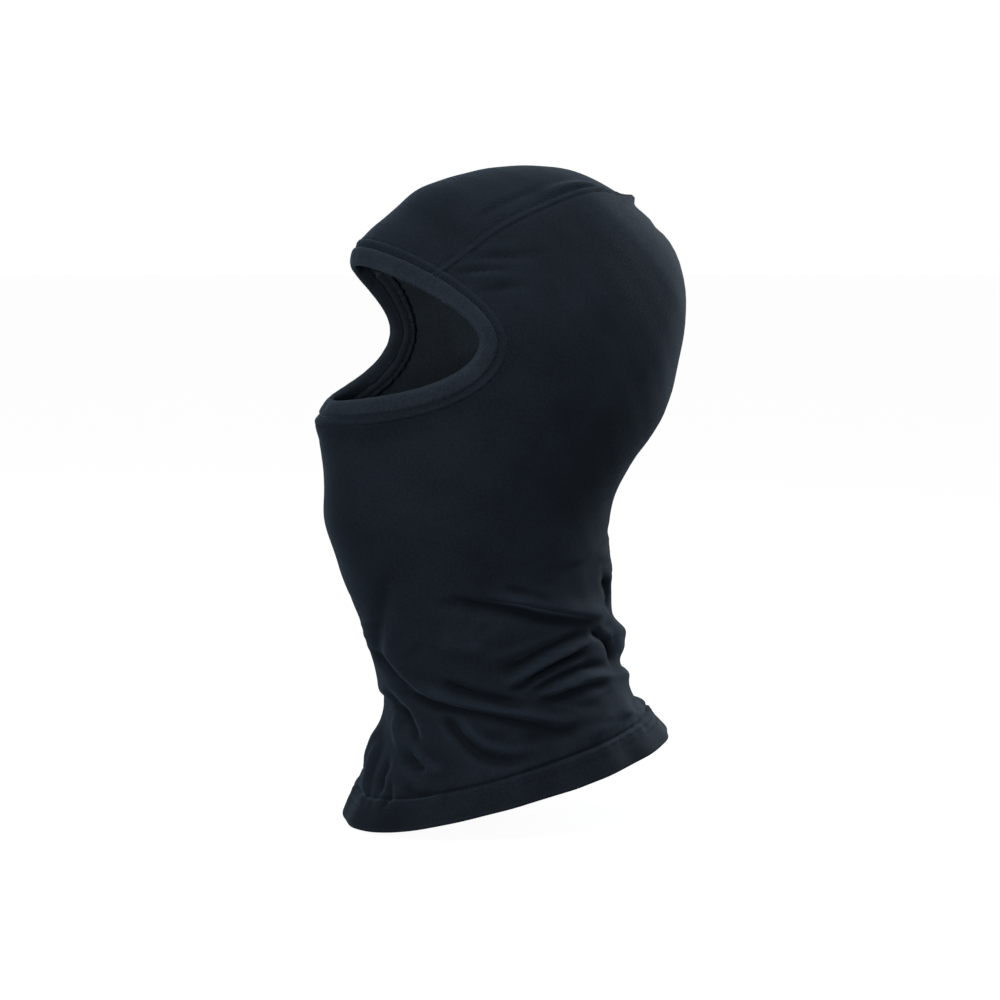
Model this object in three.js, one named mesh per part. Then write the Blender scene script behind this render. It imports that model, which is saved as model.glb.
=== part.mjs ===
// Thin stretch-knit balaclava, in millimetres, +Z up, the face opening towards -Y and the
// wearer's left at +X. The origin is the centre of the wearer's head.
//
// Every piece is a flat or ring-shaped blank (a box, a cylinder or a lathed ring) wrapped onto
// one shared form, the way cut fabric and thread lie on a head. A place on the form is given by
//   phi    the angle round the hood: 0 at the front, half a turn at the back, positive on the left
//   ring   how far from the face opening: 0 at its folded edge, then ring by ring down to the hem
//   depth  the distance outside (+) or inside (-) the outer face of the fabric

import * as THREE from 'three';
import { mergeVertices } from 'three/addons/utils/BufferGeometryUtils.js';

// ---- Driving dimensions ------------------------------------------------------------------

const HOOD_LENGTH = 227; // mouth to back of the head
const HOOD_HEIGHT = 382; // top of the crown to the lowest point of the hem
const HEAD_WIDTH = 158; // across the ears
const OPENING_WIDTH = 134; // face opening, between its furthest-back corners
const NECK_WIDTH = 124;
const HEM_WIDTH = 164;

const FABRIC = 1.2; // one layer of jersey
const HEM_DEPTH = 18; // turned-up fabric at the bottom

const BINDING_WIDTH = 9.6; // folded edge to join
const BINDING_THICKNESS = 2.6; // two layers and their fold
const BINDING_PROUD = 0.5; // how far the soft band stands out beyond the jersey
const BINDING_ALLOWANCE = 7.4; // band fabric that lies behind the panels, past the join

const CROWN_ANGLE = 41; // degrees, half the crown panel at the forehead
const CROWN_POINT = 3.6; // ring at which the crown panel ends in a point

const STITCH_SPACING = 4.6; // between the two needle rows of a seam
const STITCH_INSET = 1.8; // from the binding join to the nearer needle row
const JOIN_THREAD_INSET = 0.4; // from the binding join to the thread that joins it, towards the face
const HEM_STITCH_INSET = 2; // from the turned-up edge to the nearer needle row
const THREAD_RADIUS = 0.5;
const LOOPER_THICKNESS = 0.5; // threads that cross the back of a seam, as one ribbon

const LABEL_WIDTH = 26;
const LABEL_HEIGHT = 15;
const LABEL_THICKNESS = 0.4;
const LABEL_LEVEL = 1.72; // at the nape: see the levels below
const LABEL_STITCH_INSET = 1.5;

// ---- Clearances --------------------------------------------------------------------------

const BUTT_GAP = 0.6; // between two fabric edges that meet
const JOIN_GAP = 1.2; // between the binding and the panels, whose edges bend at different places
const OUTER_GAP = 0.35; // from the fabric to a thread that lies on it
const INNER_GAP = 0.9; // from the fabric to what lies behind it
const END_GAP = 2; // from the end of a stitch row to the row that it runs up to

// ---- How finely the form is divided --------------------------------------------------------

const COLUMNS = 52; // round the whole hood
const CROWN_COLUMNS = 12; // across the crown panel
const CROWN_ROWS = 12; // from the binding join to the crown point
const BODY_ROWS = 15; // from the crown point to the top of the hem

// ---- The form ------------------------------------------------------------------------------

// The three guide lines are drafted on a block of this size and graded to the hood's own size.
const BLOCK = { length: 227, height: 382 };
function grade(x, y, z) {
  return new THREE.Vector3(x, (y * HOOD_LENGTH) / BLOCK.length, (z * HOOD_HEIGHT) / BLOCK.height);
}

// One entry for each ring, from the face opening to the hem. front and back are [y, z] on the
// centre line, side is [x, y, z].
const RINGS = [
  { name: 'folded edge', front: [-117.5, -38.5], side: [OPENING_WIDTH / 2, -53, -5], back: [-100.5, 39.5] },
  { name: 'brow', front: [-124.5, -52], side: [OPENING_WIDTH / 2 + 4, -42, -8], back: [-97, 53] },
  { name: 'temple', front: [-121, -62], side: [HEAD_WIDTH / 2 - 1.5, -16, -16], back: [-58, 85] },
  { name: 'crown', front: [-120, -75], side: [HEAD_WIDTH / 2, 0, -32], back: [34, 93] },
  { name: 'back of head', front: [-119.5, -90], side: [HEAD_WIDTH / 2 - 4, 0, -58], back: [95.5, 47.5] },
  { name: 'jaw', front: [-119, -110], side: [NECK_WIDTH / 2 + 7, -12, -88], back: [97.5, -31] },
  { name: 'nape', front: [-110, -136], side: [NECK_WIDTH / 2 + 2, -25, -122], back: [57, -98] },
  { name: 'neck', front: [-95, -180], side: [NECK_WIDTH / 2, -20, -170], back: [56, -163] },
  { name: 'neck base', front: [-82, -226], side: [NECK_WIDTH / 2 + 6, -9, -221], back: [70, -214] },
  { name: 'hem', front: [-105, -285], side: [HEM_WIDTH / 2, -9, -262], back: [92, -239] },
];
const HEM = RINGS.length - 1;

const frontLine = new THREE.CatmullRomCurve3(RINGS.map(({ front }) => grade(0, ...front)));
const sideLine = new THREE.CatmullRomCurve3(RINGS.map(({ side }) => grade(...side)));
const backLine = new THREE.CatmullRomCurve3(RINGS.map(({ back }) => grade(0, ...back)));

// A ring is two half ellipses that meet on the side line, bent so that the side may lie above or
// below the straight line from its front point to its back point.
function formPoint(phi, ring) {
  const share = THREE.MathUtils.clamp(ring / HEM, 0, 1);
  const front = frontLine.getPoint(share);
  const side = sideLine.getPoint(share);
  const back = backLine.getPoint(share);
  const sideInPlane = new THREE.Vector3(0, side.y, side.z);
  const middle = new THREE.Vector3();
  new THREE.Line3(front, back).closestPointToPoint(sideInPlane, false, middle);
  const end = Math.cos(phi) > 0 ? front : back;
  const point = middle.clone();
  point.addScaledVector(end.clone().sub(middle), Math.abs(Math.cos(phi)));
  point.addScaledVector(sideInPlane.sub(middle), Math.sin(phi) ** 2);
  point.x = side.x * Math.sin(phi);
  return point;
}

// How fast the form moves round the hood, and from ring to ring.
const STEP = 1e-3;
function roundRate(phi, ring) {
  return formPoint(phi + STEP, ring).sub(formPoint(phi - STEP, ring)).divideScalar(2 * STEP);
}
function downRate(phi, ring) {
  const low = THREE.MathUtils.clamp(ring - STEP, 0, HEM - STEP);
  const high = THREE.MathUtils.clamp(ring + STEP, STEP, HEM);
  return formPoint(phi, high).sub(formPoint(phi, low)).divideScalar(high - low);
}

// The ring that lies a distance further down than another, and the angle that lies a distance
// further round, both measured along the fabric.
const MEASURING_STEP = 2;
function ringAt(phi, ring, distance) {
  const steps = Math.max(Math.ceil(Math.abs(distance) / MEASURING_STEP), 1);
  const stride = distance / steps;
  let result = ring;
  for (let step = 0; step < steps; step += 1) {
    const halfway = result + stride / 2 / downRate(phi, result).length();
    result += stride / downRate(phi, halfway).length();
  }
  return THREE.MathUtils.clamp(result, 0, HEM);
}
function angleAt(phi, ring, distance) {
  return phi + distance / roundRate(phi, ring).length();
}

function onForm(phi, ring, depth) {
  const outward = downRate(phi, ring).cross(roundRate(phi, ring)).normalize();
  return formPoint(phi, ring).addScaledVector(outward, depth);
}

// ---- Levels: the rows that panels and seams share -------------------------------------------

// A level of 0 is the binding join, 1 the crown point and 2 the top of the turned-up hem.
function ringOfLevel(phi, level) {
  if (level <= 1) return THREE.MathUtils.lerp(ringAt(phi, 0, BINDING_WIDTH), CROWN_POINT, level);
  return THREE.MathUtils.lerp(CROWN_POINT, ringAt(phi, HEM, -HEM_DEPTH - 1), level - 1);
}

// The rows lie closer together beside the binding, where most pieces lie over each other.
const ROW_CROWDING = 1.3;
const rowLevels = (count) => Array.from({ length: count + 1 }, (_, row) => row / count);
const crownLevels = rowLevels(CROWN_ROWS).map((level) => level ** ROW_CROWDING);
const backLevels = rowLevels(BODY_ROWS).map((level) => 1 + level);

// The angle of the seam behind the body panel: along the crown panel's edge, which keeps its
// distance over the forehead and then draws in to a point, and down the centre back. Between two
// rows it is straight, as the panels' own edges are.
function seamAngle(level) {
  if (level >= 1) return Math.PI;
  const next = crownLevels.findIndex((rowLevel) => rowLevel > level);
  const [above, below] = [crownLevels[next - 1], crownLevels[next]];
  const roundedHalf = (rowLevel) => CROWN_ANGLE * (1 - rowLevel ** 3);
  const share = (level - above) / (below - above);
  const half = THREE.MathUtils.lerp(roundedHalf(above), roundedHalf(below), share);
  return Math.PI - THREE.MathUtils.degToRad(half);
}
function angleBesideSeam(level, distance) {
  const seam = seamAngle(level);
  return angleAt(seam, ringOfLevel(seam, level), distance);
}

// ---- From a blank to a solid -----------------------------------------------------------------

// Moves every vertex of a closed blank with a function, and gives the closed solid.
function wrap(blank, place) {
  const vertices = blank.getAttribute('position');
  for (let index = 0; index < vertices.count; index += 1) {
    const point = place(vertices.getX(index), vertices.getY(index), vertices.getZ(index));
    vertices.setXYZ(index, point.x, point.y, point.z);
  }
  blank.deleteAttribute('normal');
  blank.deleteAttribute('uv');
  const solid = mergeVertices(blank, 1e-4);
  faceOutwards(solid);
  solid.computeVertexNormals();
  return solid;
}

function faceOutwards(solid) {
  const index = solid.getIndex();
  const vertices = solid.getAttribute('position');
  const corner = (which) => new THREE.Vector3().fromBufferAttribute(vertices, index.getX(which));
  let volume = 0;
  for (let face = 0; face < index.count; face += 3) {
    volume += corner(face).dot(corner(face + 1).cross(corner(face + 2)));
  }
  if (volume > 0) return;
  for (let face = 0; face < index.count; face += 3) {
    const second = index.getX(face + 1);
    index.setX(face + 1, index.getX(face + 2));
    index.setX(face + 2, second);
  }
}

// A closed ring round the hood. Its section is a list of [distance, depth] corners, where distance
// runs down the fabric. ringOf turns it into a ring of the form at each angle.
const LATHE_RADIUS = 100; // any radius that keeps the blank's section clear of its axis
function ringPiece(section, ringOf) {
  const corners = section.map(([distance, depth]) => new THREE.Vector2(LATHE_RADIUS + depth, -distance));
  const blank = new THREE.LatheGeometry([...corners, corners[0]], COLUMNS);
  return wrap(blank, (x, y, z) => {
    const phi = Math.atan2(x, z);
    return onForm(phi, ringOf(phi, -y), Math.hypot(x, z) - LATHE_RADIUS);
  });
}
const fromFoldedEdge = (phi, distance) => ringAt(phi, 0, distance);
const fromHemEdge = (phi, distance) => ringAt(phi, HEM, -distance);

// A four-sided section of a strand whose outer side lies at a depth.
function strandSection(distance, width, depth, thickness) {
  return [
    [distance - width / 2, depth - thickness],
    [distance + width / 2, depth - thickness],
    [distance + width / 2, depth],
    [distance - width / 2, depth],
  ];
}
function threadSection(distance, depth) {
  return strandSection(distance, 2 * THREAD_RADIUS, depth + THREAD_RADIUS, 2 * THREAD_RADIUS);
}
function looperSection(distance, depth) {
  return strandSection(distance, STITCH_SPACING, depth, LOOPER_THICKNESS);
}

// A strand that runs down a seam through a list of levels, on one side of the hood and a distance
// to one side of the seam.
function seamPiece(blank, levels, side, across, depth) {
  return wrap(blank, (x, y, z) => {
    const level = levels[Math.round((0.5 - y) * (levels.length - 1))];
    const phi = angleBesideSeam(level, across + x);
    return onForm(side * phi, ringOfLevel(phi, level), depth + z);
  });
}
function seamThread(levels, side, across) {
  const blank = new THREE.CylinderGeometry(THREAD_RADIUS, THREAD_RADIUS, 1, 5, levels.length - 1);
  return seamPiece(blank, levels, side, across, OUTER_THREAD_DEPTH);
}
function seamRibbon(levels, side) {
  const blank = new THREE.BoxGeometry(STITCH_SPACING, 1, LOOPER_THICKNESS, 2, levels.length - 1, 1);
  return seamPiece(blank, levels, side, 0, BEHIND_PANEL - LOOPER_THICKNESS / 2);
}

// ---- Depths and distances that pieces share ----------------------------------------------------

const OUTER_THREAD_DEPTH = OUTER_GAP + THREAD_RADIUS;
const BEHIND_PANEL = -FABRIC - INNER_GAP;
const BEHIND_ALLOWANCE = BEHIND_PANEL - FABRIC - INNER_GAP;
const BEHIND_HEM = -2 * FABRIC - INNER_GAP;
const BEHIND_LOOPER = BEHIND_PANEL - LOOPER_THICKNESS - INNER_GAP;

const BINDING_INNER_ROW = BINDING_WIDTH + STITCH_INSET;
const BINDING_OUTER_ROW = BINDING_INNER_ROW + STITCH_SPACING;
const HEM_UPPER_ROW = HEM_DEPTH - HEM_STITCH_INSET;
const HEM_LOWER_ROW = HEM_UPPER_ROW - STITCH_SPACING;

// ---- Fabric pieces -----------------------------------------------------------------------------

// One piece cut on the fold at the centre front. It goes round both cheeks to the centre back, and
// its bottom edge is turned up inside.
const HEM_DISTANCES = [HEM_DEPTH, HEM_DEPTH / 2, 0];
function bodyPanel() {
  const levels = [...crownLevels, ...backLevels.slice(1)];
  const rows = levels.length + HEM_DISTANCES.length - 1;
  const blank = new THREE.BoxGeometry(1, 1, 1, COLUMNS, rows, 1);
  return wrap(blank, (x, y, z) => {
    const row = Math.round((0.5 - y) * rows);
    if (row >= levels.length) {
      const fromHem = HEM_DISTANCES[row - levels.length];
      const hemPhi = 2 * x * angleAt(Math.PI, HEM, -BUTT_GAP / 2);
      return onForm(hemPhi, fromHemEdge(hemPhi, fromHem), z > 0 ? 0 : -2 * FABRIC);
    }
    const phi = 2 * x * angleBesideSeam(levels[row], -BUTT_GAP / 2);
    return onPanel(phi, levels[row], z);
  });
}

// The wedge over the forehead and the top of the head, which ends in a blunt point.
const CROWN_BLUNT_LEVEL = 1 - 0.15 / CROWN_ROWS;
function crownPanel() {
  const levels = [...crownLevels.slice(0, -1), CROWN_BLUNT_LEVEL];
  const blank = new THREE.BoxGeometry(1, 1, 1, CROWN_COLUMNS, CROWN_ROWS, 1);
  return wrap(blank, (x, y, z) => {
    const level = levels[Math.round((0.5 - y) * CROWN_ROWS)];
    const half = Math.PI - angleBesideSeam(level, BUTT_GAP / 2);
    return onPanel(Math.PI + 2 * x * half, level, z);
  });
}

// A corner of a single-layer panel, outside or inside. The first row stands off from the binding.
function onPanel(phi, level, z) {
  const join = fromFoldedEdge(phi, BINDING_WIDTH + JOIN_GAP);
  const ring = level === 0 ? join : ringOfLevel(phi, level);
  return onForm(phi, ring, z > 0 ? 0 : -FABRIC);
}

// The doubled band round the face. Past the join its raw edges lie flat behind the panels.
function faceBinding() {
  const top = BINDING_PROUD;
  const bottom = BINDING_PROUD - BINDING_THICKNESS;
  const round = BINDING_THICKNESS / 3;
  const shares = [JOIN_GAP / BINDING_ALLOWANCE, 0.35, 0.7, 1];
  const allowance = shares.map((share) => BINDING_WIDTH + share * BINDING_ALLOWANCE);
  return ringPiece([
    [round, top],
    [0, top - round],
    [0, bottom + round],
    [round, bottom],
    [BINDING_WIDTH - FABRIC, bottom],
    ...allowance.map((distance) => [distance, BEHIND_PANEL - FABRIC]),
    ...allowance.toReversed().map((distance) => [distance, BEHIND_PANEL]),
    [BINDING_WIDTH, -FABRIC],
    [BINDING_WIDTH, 0],
    [BINDING_WIDTH - round, top],
  ], fromFoldedEdge);
}

// A blank woven label, sewn flat over the centre back seam at the nape.
const labelRing = ringOfLevel(Math.PI, LABEL_LEVEL);
function onLabel(x, y, z) {
  const ring = ringAt(Math.PI, labelRing, LABEL_HEIGHT * (0.5 - y));
  return onForm(angleAt(Math.PI, ring, x), ring, BEHIND_LOOPER + z);
}
function careLabel() {
  const blank = new THREE.BoxGeometry(LABEL_WIDTH, 1, LABEL_THICKNESS, 6, 4, 1);
  return wrap(blank, (x, y, z) => onLabel(x, y, z - LABEL_THICKNESS / 2));
}

// ---- Threads -----------------------------------------------------------------------------------

function bindingThread(distance) {
  return ringPiece(threadSection(distance, OUTER_THREAD_DEPTH), fromFoldedEdge);
}
function bindingLooper() {
  const middle = (BINDING_INNER_ROW + BINDING_OUTER_ROW) / 2;
  return ringPiece(looperSection(middle, BEHIND_ALLOWANCE), fromFoldedEdge);
}
// The thread that joins the band to the panels, which shows only inside.
function bindingJoinThread() {
  const depth = BEHIND_ALLOWANCE - THREAD_RADIUS;
  return ringPiece(threadSection(BINDING_WIDTH - JOIN_THREAD_INSET, depth), fromFoldedEdge);
}
function hemThread(distance) {
  return ringPiece(threadSection(distance, OUTER_THREAD_DEPTH), fromHemEdge);
}
function hemLooper() {
  const middle = (HEM_UPPER_ROW + HEM_LOWER_ROW) / 2;
  return ringPiece(looperSection(middle, BEHIND_HEM), fromHemEdge);
}

// How far down a crown seam something lies that is given by its distance from the folded edge.
function crownLevelAt(distance) {
  const phi = seamAngle(0);
  const join = ringOfLevel(phi, 0);
  return (ringAt(phi, 0, distance) - join) / (CROWN_POINT - join);
}
// Whether the crown panel is still wide enough for a row of stitches beside each of its edges.
function hasRoomForRow(level) {
  const half = Math.PI - angleBesideSeam(level, STITCH_SPACING / 2);
  return half * roundRate(Math.PI, CROWN_POINT).length() > THREAD_RADIUS + OUTER_GAP;
}
const crownSeamStart = crownLevelAt(BINDING_OUTER_ROW + END_GAP);
const crownLooperStart = crownLevelAt(BINDING_WIDTH + BINDING_ALLOWANCE + END_GAP);
const CROWN_SEAM_END = 1 - 0.2 / CROWN_ROWS;
const BACK_SEAM_START = 1 + 0.1 / BODY_ROWS;
const BACK_LOOPER_END = 2 - 0.2 / BODY_ROWS;

function crownLevelsFrom(start) {
  return [start, ...crownLevels.filter((level) => level > start && level < 1)];
}
const crownUpperLevels = crownLevelsFrom(crownSeamStart).filter(hasRoomForRow);
const crownLowerLevels = [...crownLevelsFrom(crownSeamStart), CROWN_SEAM_END];
const crownLooperLevels = crownLevelsFrom(crownLooperStart).filter(hasRoomForRow);
const backRowLevels = [BACK_SEAM_START, ...backLevels.slice(1)];
const backLooperLevels = [BACK_SEAM_START, ...backLevels.slice(1, -1), BACK_LOOPER_END];

// A row of stitches along the top or the bottom of the label.
function labelStitch(distance) {
  const length = LABEL_WIDTH - 2 * LABEL_STITCH_INSET;
  const blank = new THREE.CylinderGeometry(THREAD_RADIUS, THREAD_RADIUS, length, 5, 6);
  const depth = -LABEL_THICKNESS - OUTER_GAP - THREAD_RADIUS;
  return wrap(blank, (x, y, z) => onLabel(y, 0.5 - (distance + x) / LABEL_HEIGHT, depth + z));
}

// ---- Materials -----------------------------------------------------------------------------------

const jersey = { color: 0x1c2028, roughness: 0.9, metalness: 0 };
const bandJersey = { color: 0x1c2027, roughness: 0.88, metalness: 0 };
const sewingThread = { color: 0x22262e, roughness: 0.7, metalness: 0 };
const wovenTape = { color: 0x2c3038, roughness: 0.75, metalness: 0 };

// ---- The assembly --------------------------------------------------------------------------------

const balaclava = new THREE.Group();
function addPiece(name, solid, finish) {
  const piece = new THREE.Mesh(solid, new THREE.MeshStandardMaterial(finish));
  piece.name = name;
  balaclava.add(piece);
}

addPiece('body_panel', bodyPanel(), jersey);
addPiece('crown_panel', crownPanel(), jersey);
addPiece('face_binding', faceBinding(), bandJersey);
addPiece('care_label', careLabel(), wovenTape);

addPiece('binding_join_thread', bindingJoinThread(), sewingThread);
addPiece('binding_stitch_inner_row', bindingThread(BINDING_INNER_ROW), sewingThread);
addPiece('binding_stitch_outer_row', bindingThread(BINDING_OUTER_ROW), sewingThread);
addPiece('binding_looper_thread', bindingLooper(), sewingThread);

const halfSpacing = STITCH_SPACING / 2;
for (const [sideName, side] of [['left', 1], ['right', -1]]) {
  const seam = `crown_seam_${sideName}`;
  addPiece(`${seam}_upper_row`, seamThread(crownUpperLevels, side, halfSpacing), sewingThread);
  addPiece(`${seam}_lower_row`, seamThread(crownLowerLevels, side, -halfSpacing), sewingThread);
  addPiece(`${seam}_looper_thread`, seamRibbon(crownLooperLevels, side), sewingThread);
  addPiece(`back_seam_${sideName}_row`, seamThread(backRowLevels, side, -halfSpacing), sewingThread);
}
addPiece('back_seam_looper_thread', seamRibbon(backLooperLevels, 1), sewingThread);

addPiece('hem_stitch_upper_row', hemThread(HEM_UPPER_ROW), sewingThread);
addPiece('hem_stitch_lower_row', hemThread(HEM_LOWER_ROW), sewingThread);
addPiece('hem_looper_thread', hemLooper(), sewingThread);

addPiece('label_stitch_upper', labelStitch(LABEL_STITCH_INSET), sewingThread);
addPiece('label_stitch_lower', labelStitch(LABEL_HEIGHT - LABEL_STITCH_INSET), sewingThread);

export default balaclava;
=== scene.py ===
# %% [markdown]
# # A thin knit balaclava
# The real one is cut from fine stretch jersey: one body piece folded at the centre front, one wedge
# over the crown and one doubled band round the face. Flat seams with two rows of stitches join them,
# and the bottom is turned up and stitched. It is shown filled out by a head that isn't there.
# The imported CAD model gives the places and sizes. Each of its plain solids is replaced below by cloth
# or by rows of single stitches.

# %% Load the frame
import math

import bpy
import numpy as np
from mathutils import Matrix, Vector


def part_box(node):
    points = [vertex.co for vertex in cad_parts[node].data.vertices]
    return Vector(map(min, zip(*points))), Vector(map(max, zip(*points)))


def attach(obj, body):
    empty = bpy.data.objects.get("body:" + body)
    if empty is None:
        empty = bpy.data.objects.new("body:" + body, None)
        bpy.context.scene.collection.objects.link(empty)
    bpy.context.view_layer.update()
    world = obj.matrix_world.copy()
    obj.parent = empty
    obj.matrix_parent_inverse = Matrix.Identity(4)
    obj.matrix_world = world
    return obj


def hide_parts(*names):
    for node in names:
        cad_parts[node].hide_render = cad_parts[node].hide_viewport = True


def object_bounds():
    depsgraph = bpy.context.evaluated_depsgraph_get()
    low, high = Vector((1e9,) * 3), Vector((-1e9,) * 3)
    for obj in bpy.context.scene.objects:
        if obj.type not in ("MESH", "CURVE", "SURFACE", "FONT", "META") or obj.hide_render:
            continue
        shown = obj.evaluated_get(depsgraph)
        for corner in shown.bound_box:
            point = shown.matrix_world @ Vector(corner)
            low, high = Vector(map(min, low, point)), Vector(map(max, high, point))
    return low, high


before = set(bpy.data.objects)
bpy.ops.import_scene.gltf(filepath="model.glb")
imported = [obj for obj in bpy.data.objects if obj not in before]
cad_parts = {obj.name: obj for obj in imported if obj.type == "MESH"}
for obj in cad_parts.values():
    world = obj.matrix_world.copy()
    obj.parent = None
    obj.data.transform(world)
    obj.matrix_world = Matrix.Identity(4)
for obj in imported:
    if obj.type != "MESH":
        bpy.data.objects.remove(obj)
cad_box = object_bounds()
MM = 0.001
print("CAD box in mm:", [[round(value / MM) for value in corner] for corner in cad_box])

# %% [markdown]
# ## The form under the cloth
# Three guide lines give the shape: one down the centre front, one down the side and one over the
# crown and down the back. Ring by ring they go from the face opening to the hem. They could be traced
# as curve objects, but plain points are shorter and can be measured. The lines are drafted in
# millimetres and then graded to the size of the CAD panels, as a pattern is graded.

# %% The guide lines
RINGS = [  # front (y, z), side (x, y, z), back (y, z)
    ((-117.5, -38.5), (67, -53, -5), (-100.5, 39.5)),  # folded edge of the face opening
    ((-124.5, -52), (71, -42, -8), (-97, 53)),  # brow
    ((-121, -62), (77.5, -16, -16), (-58, 85)),  # temple
    ((-120, -75), (79, 0, -32), (34, 93)),  # crown
    ((-119.5, -90), (75, 0, -58), (95.5, 47.5)),  # back of the head
    ((-119, -110), (69, -12, -88), (97.5, -31)),  # jaw
    ((-110, -136), (64, -25, -122), (57, -98)),  # nape
    ((-95, -180), (62, -20, -170), (56, -163)),  # neck
    ((-82, -226), (68, -9, -221), (70, -214)),  # base of the neck
    ((-105, -285), (82, -9, -262), (92, -239)),  # hem
]
HEM = len(RINGS) - 1
front_line = np.array([(0, *front) for front, _, _ in RINGS], float)
side_line = np.array([side for _, side, _ in RINGS], float)
back_line = np.array([(0, *back) for _, _, back in RINGS], float)
print(len(RINGS), "rings on three guide lines")


# %% Smooth curves through points
def along(points, share):
    """Places at a share, 0 to 1, along a smooth curve through points."""
    first = 2 * points[0] - points[1]
    last = 2 * points[-1] - points[-2]
    padded = np.vstack([first, points, last])
    place = np.clip(share, 0, 1) * (len(points) - 1)
    index = np.minimum(place.astype(int), len(points) - 2)
    within = (place - index)[..., None]
    knots = p0, p1, p2, p3 = [padded[index + step] for step in range(4)]
    d0, d1, d2 = (np.linalg.norm(b - a, axis=-1, keepdims=True) ** 0.5 for a, b in zip(knots, knots[1:]))
    start = ((p1 - p0) / d0 - (p2 - p0) / (d0 + d1) + (p2 - p1) / d1) * d1
    end = ((p2 - p1) / d1 - (p3 - p1) / (d1 + d2) + (p3 - p2) / d2) * d1
    cubic = 2 * p1 - 2 * p2 + start + end
    square = -3 * p1 + 3 * p2 - 2 * start - end
    return p1 + within * (start + within * (square + within * cubic))


# %% [markdown]
# Round the head, each ring is two half ellipses that meet on the side line, bent so that the side can
# sit lower than the front and back. An angle of 0 is the centre front, and half a turn the centre back.

# %% Points on the form
grade = np.ones(3)


def same_shape(*values):
    return np.broadcast_arrays(*(np.asarray(value, float) for value in values))


def form(angle, ring):
    """Points of the graded form, in millimetres."""
    angle, ring = same_shape(angle, ring)
    front, side, back = (along(line, ring / HEM) for line in (front_line, side_line, back_line))
    flat_side = side * (0, 1, 1)
    span = back - front
    share = ((flat_side - front) * span).sum(-1, keepdims=True) / (span**2).sum(-1, keepdims=True)
    middle = front + span * share
    cosine, sine = np.cos(angle)[..., None], np.sin(angle)[..., None]
    end = np.where(cosine > 0, front, back)
    point = middle + (end - middle) * abs(cosine) + (flat_side - middle) * sine**2
    point[..., :1] += side[..., :1] * sine
    return point * grade


all_angles = np.radians(np.arange(-180, 181))
drafted = form(all_angles[:, None], np.linspace(0, HEM, 181)[None]).reshape(-1, 3)
crown_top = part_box("crown_panel")[1][2]
low, high = (np.array(corner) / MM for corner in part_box("body_panel"))
high[2] = crown_top / MM
drafted_low, drafted_high = drafted.min(0), drafted.max(0)
grade = (high - low) / (drafted_high - drafted_low)
print("graded by", grade.round(3))


# %% [markdown]
# Everything below is laid on this form thousands of times, so the form is worked out once, as a map of
# half-degree columns and rows less than a millimetre apart, and read back between its places.
# Cloth is measured along its surface, so the map also says how far each place is from the face
# opening's folded edge and from the hem.

# %% A map of the form
MAP_COLUMNS, MAP_ROWS = 720, 810
map_rings = np.linspace(0, HEM, MAP_ROWS + 1)
map_angle, map_ring = np.meshgrid(np.radians(np.linspace(-180, 180, MAP_COLUMNS + 1)), map_rings)
map_points = form(map_angle, map_ring)
steps_down = np.linalg.norm(np.diff(map_points, axis=0), axis=-1)
from_edge = np.vstack([np.zeros((1, MAP_COLUMNS + 1)), np.cumsum(steps_down, axis=0)])
from_hem = from_edge[-1] - from_edge


def directions(points):
    """Unit vectors down, round and outwards at each place of a map."""
    down = np.gradient(points, axis=0)
    wrapped = np.concatenate([points[:, -2:-1], points, points[:, 1:2]], axis=1)
    across = wrapped[:, 2:] - wrapped[:, :-2]
    outward = np.cross(down, across)
    return [vector / np.linalg.norm(vector, axis=-1, keepdims=True) for vector in (down, across, outward)]


def read(values, column, row):
    """Values of a map between its columns and rows."""
    left = np.clip(column.astype(int), 0, values.shape[1] - 2)
    top = np.clip(row.astype(int), 0, values.shape[0] - 2)
    across, down = column - left, row - top
    if values.ndim == 3:
        across, down = across[..., None], down[..., None]
    upper = values[top, left] * (1 - across) + values[top, left + 1] * across
    lower = values[top + 1, left] * (1 - across) + values[top + 1, left + 1] * across
    return upper * (1 - down) + lower * down


def column_of(angle):
    return (np.degrees(angle) + 180) % 360 / 360 * MAP_COLUMNS


def read_at(values, angle, ring):
    angle, ring = same_shape(angle, ring)
    return read(values, column_of(angle), np.clip(ring, 0, HEM) / HEM * MAP_ROWS)


print("map of", map_angle.size, "places")

# %% Measuring along the cloth
REACH = 60  # millimetres, as far as rows are ever measured from an edge
TABLE_STEP = 0.5
reach_steps = np.arange(0, REACH + TABLE_STEP, TABLE_STEP)
edge_table = np.array([np.interp(reach_steps, column, map_rings) for column in from_edge.T]).T
hem_table = np.array([np.interp(reach_steps, column[::-1], map_rings[::-1]) for column in from_hem.T]).T


def below_edge(angle, distance, table=edge_table):
    """The ring a distance in millimetres below the folded edge of the face opening."""
    angle, distance = same_shape(angle, distance)
    return read(table, column_of(angle), distance / TABLE_STEP)


def above_hem_edge(angle, distance):
    """The ring a distance in millimetres above the hem edge."""
    return below_edge(angle, distance, hem_table)


def angle_at(angle, ring, distance):
    """The angle that lies a distance in millimetres further round."""
    step = 1e-3
    rate = np.linalg.norm(form(angle + step, ring) - form(angle - step, ring), axis=-1) / (2 * step)
    return angle + distance / rate


def run_along(points):
    """How far each point is from the first, along the line through them all."""
    return np.concatenate([[0], np.cumsum(np.linalg.norm(np.diff(points, axis=0), axis=1))])


opening_round, hem_round = (round(run_along(form(all_angles, ring))[-1]) for ring in (0, HEM))
print("opening is", opening_round, "mm round, the hem", hem_round)

# %% [markdown]
# ## Rows and columns of the cloth
# The crown and body panels meet along a seam that draws in from the forehead to a point at the back
# of the head. Both panels are meshed on the same rows, so their edges meet all the way. The rows lie
# a millimetre apart beside the band and the hem, where the stitching pulls the cloth into furrows, and
# further apart where it only hangs.

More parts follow.
